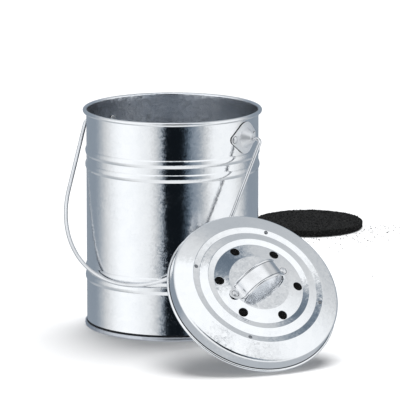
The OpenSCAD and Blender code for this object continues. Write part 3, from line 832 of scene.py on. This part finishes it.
def lid_matrix():
    """From the lid's own frame, +Z out of its face, to where it stands, in metres."""
    tilt, bearing = radians(LID_ELEVATION), radians(LID_BEARING)
    away = BAIL_HALF_SPAN + LID_HEM_R * sin(tilt) + LID_CLEAR
    at = Vector((away * cos(bearing), away * sin(bearing), LID_HEM_R * cos(tilt) + HEM_ROLL_R)) * MM
    return (Matrix.Translation(at) @ Matrix.Rotation(radians(LID_AZIMUTH), 4, "Z")
            @ Matrix.Rotation(radians(90 - LID_ELEVATION), 4, "Y")
            @ Matrix.Rotation(radians(90 + LID_SPIN), 4, "Z"))


def on_lid(azimuth, radius, height):
    """A place on the lid in its own frame, turned to azimuth, as a matrix in metres."""
    return Matrix.Rotation(radians(azimuth), 4, "Z") @ Matrix.Translation((radius * MM, 0, height * MM))


def lid_outline():
    """The lid's sheet in section: disc, two ridges, shoulder, skirt and the hem curled round its wire."""
    top = LID_H + DISC_RISE
    face = [(0, top, 0), (DISC_R, top, 2 * CREASE_R),
            (VALLEY_IN_R, LID_H - VALLEY_IN_DROP, CREASE_R),
            (RIDGE_IN_R, LID_H + RIDGE_IN_RISE, CREASE_R),
            (VALLEY_OUT_R, LID_H - VALLEY_OUT_DROP, CREASE_R),
            (RIDGE_OUT_R, LID_H - RIDGE_OUT_DROP, CREASE_R),
            (SKIRT_R, LID_H - SHOULDER_DROP, SHOULDER_R), (SKIRT_R, SKIRT_FOOT_Z, 0), (SKIRT_R, 0, 0)]
    under = [(min(x, SKIRT_IN_R), z - SHEET, r) for x, z, r in face[:-1]] + [(SKIRT_IN_R, 0, 0)]
    hem_out = arc(LID_HEM_R, 0, HEM_ROLL_R, 180, 180 + LID_CURL, 10)
    hem_in = arc(LID_HEM_R, 0, HEM_ROLL_R - SHEET, 180, 180 + LID_CURL, 10)
    return fine(rounded(face), 3) + hem_in + hem_out[::-1] + fine(rounded(under), 4)[::-1][1:]


def punch(name, holes):
    """Cylinders that cut round holes: (radius, length, matrix) in the lid's own frame."""
    shape = bmesh.new()
    for radius, length, where in holes:
        bmesh.ops.create_cone(shape, cap_ends=True, segments=SMALL_SECTORS, radius1=radius * MM,
                              radius2=radius * MM, depth=length * MM, matrix=where)
    return link(name, mesh_of(name, shape))


def lid_shell():
    """The lid's sheet with its vents and its rivets' holes punched."""
    shell = lathe("lid_pan_shown", lid_outline(), LID_SECTORS)
    holes = [(VENT_R, VENT_PUNCH, on_lid(360 * i / VENTS, VENT_RING_R, LID_H)) for i in range(VENTS)]
    for way in (-1, 1):
        rivet_at = on_lid(STRAP_AZIMUTH, way * STRAP_RIVET_X, LID_H + DISC_RISE)
        holes.append((RIVET_HOLE_R, RIVET_PUNCH, rivet_at))
    for i in range(CLIPS):
        rivet_at = on_lid(CLIP_AZIMUTH + 360 * i / CLIPS, CLIP_RIVET_AT, LID_H - CLIP_RIVET_DROP)
        holes.append((CLIP_HOLE_R, RIVET_PUNCH, rivet_at @ Matrix.Rotation(radians(-CLIP_SLOPE), 4, "Y")))
    cutter = punch("vent_punch", holes)
    cut = shell.modifiers.new("vents", "BOOLEAN")
    cut.object = cutter
    cut.solver = "EXACT"
    mesh = baked(shell)
    bpy.data.objects.remove(cutter)
    mesh.transform(lid_matrix())
    smooth(mesh)
    return link("lid_pan_shown", mesh)


def is_hem_groove(at):
    """Whether a place, in the lid's own frame, is in the groove between the skirt and the hem's curl."""
    low, high = HEM_GROOVE_Z
    in_width = SKIRT_R - HEM_GROOVE_BITE < hypot(at.x, at.y) / MM < SKIRT_R + HEM_GROOVE_W
    return in_width and low < at.z / MM < high


# ---------------------------------------------------------------- filters


def felt_disc(name, place):
    """A carbon felt disc with a soft uneven face and a ragged cut edge, its underside's middle at place."""
    radius, top = FILTER_R - FELT_FRAY, FILTER_T - FELT_NAP
    low_round, top_round = FELT_ROUND
    outline = fine(rounded([(0, 0, 0), (radius, 0, low_round), (radius, top, top_round), (0, top, 0)]), 1.6)
    disc = lathe(name, outline, FELT_SECTORS)
    for vertex in disc.data.vertices:
        p = vertex.co.copy()
        out = hypot(p.x, p.y)
        coarse = noise.noise(p * 60)
        ragged = noise.noise(p * 420) * 0.5 + noise.noise(p * 900) * 0.35
        edge = max(0.0, out / MM - FILTER_R + FRAY_REACH) / FRAY_REACH
        if p.z > SOLE_H * MM:
            vertex.co.z += (coarse * LUMP_H + ragged * FIBRE_H) * MM
        if out > 0 and edge > 0:
            vertex.co.xy += Vector((p.x, p.y)) / out * ragged * edge * FRAY_W * MM
    disc.data.transform(place)
    smooth(disc.data, 80)
    return disc


# ---------------------------------------------------------------- studio


def seen(right, away, up):
    """A direction given as the camera sees it: to its right, away from it and up."""
    turn = radians(CAMERA_AZIMUTH)
    return Vector((right * sin(turn) + away * cos(turn), away * sin(turn) - right * cos(turn), up))


def studio_floor():
    """The ground that takes the shadows. The metal doesn't mirror it."""
    shape = bmesh.new()
    bmesh.ops.create_grid(shape, x_segments=2, y_segments=2, size=FLOOR_SIZE)
    shape.transform(Matrix.Translation((0, 0, -FLOOR_DROP * MM)))
    floor = link("studio_floor", mesh_of("studio_floor", shape))
    floor.data.materials.append(floor_finish())
    floor.visible_glossy = False


def card(name, radius, stretch, z, finish):
    """A card that only the metal sees, under the strap and z above the lid's own origin."""
    shape = bmesh.new()
    where = (lid_matrix() @ Matrix.Translation((0, 0, z * MM))
             @ Matrix.Rotation(radians(STRAP_AZIMUTH), 4, "Z") @ Matrix.Diagonal((1, stretch, 1, 1)))
    bmesh.ops.create_circle(shape, cap_ends=True, segments=SMALL_SECTORS, radius=radius * MM, matrix=where)
    made = link(name, mesh_of(name, shape))
    made.data.materials.append(finish)
    made.visible_camera = made.visible_diffuse = made.visible_shadow = made.visible_transmission = False


def cards_behind_handle():
    """The lid is kept out of the metal's mirror images. The strap is not, so a one-sided copy of the disc's
    face stands in under it, and a black card behind that keeps it out of the pail's wall."""
    disc, tree = material("disc_stand_in")
    front = 1 - tree.add("ShaderNodeNewGeometry", None, None, out="Backfacing")
    surface(tree, Base_Color=(0.86, 0.88, 0.90, 1), Metallic=1.0, Roughness=0.12, Alpha=front)
    black, tree = material("black_card")
    surface(tree, Base_Color=(0.01, 0.012, 0.016, 1), Metallic=0.0, Roughness=0.9, Specular_IOR_Level=0.0)
    card("disc_stand_in", STAND_IN_R, 1.0, LID_H + STAND_IN_RISE, disc)
    card("black_card", BLACK_CARD_R, BLACK_CARD_STRETCH, LID_H, black)


def fallen_dust(middle, finish):
    """Carbon grains that have dropped off the spare filter, on the floor in front of it."""
    draw = Random(DUST_SEED)
    shape = bmesh.new()
    for _ in range(DUST_GRAINS):
        bearing = radians(draw.uniform(*DUST_BEARINGS))
        away = (FILTER_R + DUST_GAP + draw.expovariate(1 / DUST_REACH)) * MM
        size = draw.uniform(*DUST_SIZE) * MM
        at = middle + seen(sin(bearing), -cos(bearing), 0) * away
        bmesh.ops.create_icosphere(shape, subdivisions=1, radius=size,
                                   matrix=Matrix.Translation((at.x, at.y, size * 0.7)))
    dust = link("fallen_dust", mesh_of("fallen_dust", shape))
    dust.data.materials.append(finish)


def soft_sun(name, source, spread, strength):
    """A wide even light from the direction of source, which the metal doesn't mirror."""
    data = bpy.data.lights.new(name, "SUN")
    data.angle = radians(spread)
    data.energy = strength
    made = bpy.data.objects.new(name, data)
    made.rotation_euler = source.to_track_quat("Z", "Y").to_euler()
    made.visible_glossy = False
    scene.collection.objects.link(made)


def studio_world():
    """The room that the metal mirrors: grey walls, bright boxes left, right and overhead, a dark card."""
    world = bpy.data.worlds.new("studio")
    world.use_nodes = True
    scene.world = world
    tree = Tree(world.node_tree)
    toward = radians(CAMERA_AZIMUTH + 180)
    look = tree.add("ShaderNodeTexCoord", None, None, out="Generated")
    front = tree.along(look, (cos(toward), sin(toward), 0))
    right = tree.along(look, (-sin(toward), cos(toward), 0))
    bearing = right.math("ARCTAN2", front) * (180 / pi)      # 0 towards the camera, positive to its right
    height = tree.along(look, (0, 0, 1)).math("ARCSINE") * (180 / pi)
    aside = bearing.math("ABSOLUTE")

    def box(first, last, first_soft, last_soft):
        """1 between two bearings, and 0 outside them."""
        return tree.ease(bearing, first - first_soft, first + first_soft) * tree.ease(
            bearing, last - last_soft, last + last_soft, 1.0, 0.0)

    def patch(side, lift, near, far, level):
        """level as far as near degrees from a bearing and height, and 1 from far on."""
        turn, lift = toward + radians(side), radians(lift)
        way = (cos(turn) * cos(lift), sin(turn) * cos(lift), sin(lift))
        return tree.ease(tree.along(look, way).math("ARCCOSINE") * (180 / pi), near, far, level, 1.0)

    walls = (box(*LEFT_BOX) * tree.ease(bearing, *LEFT_BOX_LEVEL) + WALL_LEVEL
             + box(*RIGHT_BOX) * RIGHT_BOX_LEVEL) * (1 - box(*DARK_CARD) * DARK_CARD_SHADE)
    ceiling = (tree.ease(aside, *CEILING_LEVEL)
               + tree.ease(aside, *REAR_CEILING) * tree.ease(height, *ZENITH_LIFT))
    for values in CEILING_PATCHES:
        ceiling = ceiling * patch(*values)
    ground = tree.ease(aside, *GROUND_LEVEL)
    over = tree.ease(height - tree.ease(aside, *CARD_RISE), *CEILING_EDGE)
    level = walls + (ceiling - walls) * over + (ground - walls) * tree.ease(height, *GROUND_EDGE)
    tint = tree.mix(tree.ease(level, *TINT_LEVELS), DARK_TINT, BRIGHT_TINT)
    to_matt = tree.add("ShaderNodeLightPath", None, None, out="Is Diffuse Ray")
    to_camera = tree.add("ShaderNodeLightPath", None, None, out="Is Camera Ray")
    room = tree.scaled(tint, level * (1 - to_matt * ROOM_DIMMED))
    shown = tree.mix(to_camera, room, (1.0, 1.0, 1.0))
    back = tree.add("ShaderNodeBackground", None, {"Color": shown, "Strength": 1.0})
    tree.add("ShaderNodeOutputWorld", None, {"Surface": back})


# ---------------------------------------------------------------- the caddy

place_camera()
studio_world()
studio_floor()
cards_behind_handle()
soft_sun("overhead", seen(*SUN_FROM), SUN_SPREAD, SUN_STRENGTH)

wall_zinc = zinc_sheet("galvanised_sheet", bright=(0.88, 0.895, 0.915), dull=(0.70, 0.735, 0.78), rough=0.05,
                       spangle=0.12, grain=0.45, wave=0.05, tilt=0.045)
# the inside's darker dull tone and stronger spangle are partly painted shade of the pail's inside
inside_zinc = zinc_sheet("galvanised_inside", bright=(0.92, 0.94, 0.97), dull=(0.60, 0.64, 0.70), rough=0.16,
                         spangle=0.4, grain=0.8, wave=0.10, tilt=0.12)
lid_zinc = zinc_sheet("lid_sheet", bright=(0.91, 0.925, 0.945), dull=(0.70, 0.73, 0.77), rough=0.06,
                      spangle=0.14, grain=0.35, wave=0.03, tilt=0.045)
# the base's sheet is coloured darker than the wall's: painted shade that keeps the hem dark
base_zinc = zinc_sheet("base_sheet", bright=(0.62, 0.65, 0.70), dull=(0.44, 0.47, 0.52), rough=0.30,
                       spangle=0.5, grain=0.4, wave=0.05, tilt=0.05)
ear_zinc = zinc_sheet("ear_plate", bright=(0.95, 0.96, 0.975), dull=(0.70, 0.73, 0.77), rough=0.48,
                      spangle=0.2, grain=0.3, wave=0.02, tilt=0.03)
bright_wire = drawn_wire("zinc_wire", (0.80, 0.815, 0.84), 0.14)
# painted shade for the bail's side that faces the pail
shaded_side_wire = drawn_wire("shaded_side_wire", ZINC_SHADE, 0.35)
rivet_steel = drawn_wire("rivet_steel", (0.86, 0.87, 0.89), 0.36)
clip_rivet_steel = drawn_wire("clip_rivet_steel", (0.24, 0.25, 0.27), 0.35)
clip_zinc = drawn_wire("clip_sheet", (0.72, 0.74, 0.78), 0.25)
# painted shade for cut edges, folds and the joins between parts
painted_crease_shade = crease_shade_finish("painted_crease_shade")
felt = felt_finish("carbon_felt")

lid_stands = lid_matrix()
strap_across = (lid_stands @ Matrix.Rotation(radians(STRAP_AZIMUTH), 4, "Z")).col[1].xyz
strap_zinc = strap_finish("strap_sheet", (0.88, 0.89, 0.91), 0.10, strap_across,
                          lid_stands.translation.dot(strap_across))

wall = pail_shell()
wall.data.materials.append(wall_zinc)
mark_where(wall, inside_zinc, is_inside)
# painted shade along the wall's foot, just above the hem
mark_where(wall, painted_crease_shade, is_foot_line)
dress(wall, wall_zinc, "pail", "galvanised_sheet", "pail_wall")
dress(seam_fold(), wall_zinc, "pail", "galvanised_sheet")
dress(base_shell(), base_zinc, "pail", "base_sheet", "base_pan")
pail_axis = Vector((0, 0, PIVOT_Z * MM))     # at the height of the ears' rivets
for side in ("right", "left"):
    ear = crisp_copy("ear_" + side)
    ear.data.materials.append(ear_zinc)
    # painted shade along the ear plate's cut edge, next to the wall
    mark_where(ear, painted_crease_shade, is_ear_edge)
    dress(ear, ear_zinc, "pail", "ear_plate", "ear_" + side)
    for end in ("front", "rear"):
        node = f"ear_rivet_{side}_{end}"
        level_out = (middle_of(node) * Vector((1, 1, 0))).normalized()
        rivet = edged_rivet(node, rivet_steel, painted_crease_shade, pail_axis, level_out, HEAD_EDGE_W)
        dress(rivet, rivet_steel, "pail", "rivet_steel", node)
dress(crisp_copy("rim_wire"), bright_wire, "pail", "zinc_wire", "rim_wire")

bail = wire("bail_shown", bail_points(), BAIL_R * MM, bright_wire)
# painted shade on the bail's side facing the pail
mark_where(bail, shaded_side_wire, is_shaded_side)
dress(bail, bright_wire, "bail", "zinc_wire", "bail")
dress(upset_heads(), bright_wire, "bail", "zinc_wire")

lid = lid_shell()
lid.data.materials.append(lid_zinc)
to_lid = lid_stands.inverted()
# painted shade in the groove between the skirt and the hem's curl
mark_where(lid, painted_crease_shade, lambda at, normal: is_hem_groove(to_lid @ at))
dress(lid, lid_zinc, "lid", "lid_sheet", "lid_pan")
dress(crisp_copy("lid_hem_wire"), bright_wire, "lid", "zinc_wire", "lid_hem_wire")
strap = dress(crisp_copy("handle_strap"), strap_zinc, "lid", "strap_sheet", "handle_strap")
strap.visible_glossy = True     # the lid's disc mirrors it
for end in ("lower", "upper"):
    node = "handle_rivet_" + end
    face_out = lid_stands.col[2].xyz
    rivet = edged_rivet(node, rivet_steel, painted_crease_shade, middle_of(node), face_out, STRAP_HEAD_EDGE_W)
    dress(rivet, rivet_steel, "lid", "rivet_steel", node)
for i in range(1, CLIPS + 1):
    dress(crisp_copy(f"filter_clip_{i}"), clip_zinc, "lid", "clip_sheet", f"filter_clip_{i}")
    dress(crisp_copy(f"clip_rivet_{i}"), clip_rivet_steel, "lid", "rivet_steel", f"clip_rivet_{i}")

spare_at = middle_of("carbon_filter")
spare_at.z = FILTER_LIFT * MM
spare = felt_disc("carbon_filter_shown", Matrix.Translation(spare_at))
fallen_dust(spare_at, felt)
dress(spare, felt, "filter", "carbon_felt", "carbon_filter")
grains = granules("carbon_granules", spare, GRANULE_DENSITY, GRANULE_R * MM, felt, GRANULE_SEED)
dress(grains, felt, "filter", "carbon_felt")
fitted = felt_disc("fitted_filter_shown",
                   lid_stands @ Matrix.Translation((0, 0, (FITTED_TOP - FILTER_T) * MM)))
dress(fitted, felt, "lid", "carbon_felt", "fitted_filter")
